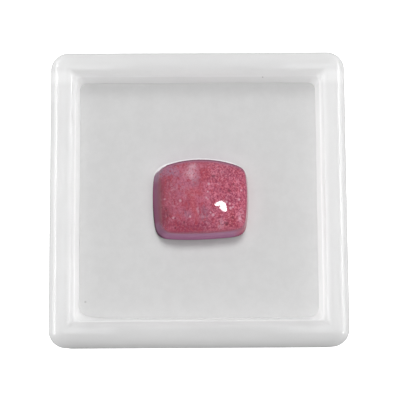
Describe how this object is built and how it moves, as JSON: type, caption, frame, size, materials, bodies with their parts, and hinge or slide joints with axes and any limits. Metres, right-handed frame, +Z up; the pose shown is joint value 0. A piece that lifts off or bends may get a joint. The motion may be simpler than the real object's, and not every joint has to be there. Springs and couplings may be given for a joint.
{
  "type": "thulite gemstone in a display tray",
  "caption": "Polished opaque cushion cabochon of mottled pink thulite, resting on a soft pad in an open square plastic display tray with a crowned rim.",
  "frame": {"origin": "middle of the tray's flat underside", "axes": "+Z up out of the tray, +X to the stone's right along its long side, +Y to its more arched back side"},
  "size_m": [0.04, 0.04, 0.0125],
  "materials": {
    "tray_plastic": "milky white moulded plastic, glossy",
    "pad_fabric": "pale grey fine felted foam, matt",
    "thulite": "polished opaque pink and red mottled thulite with pale clouds and a fine grain"
  },
  "bodies": {
    "root": {"tray": "tray_plastic", "pad": "pad_fabric", "gemstone": "thulite"}
  },
  "joints": []
}
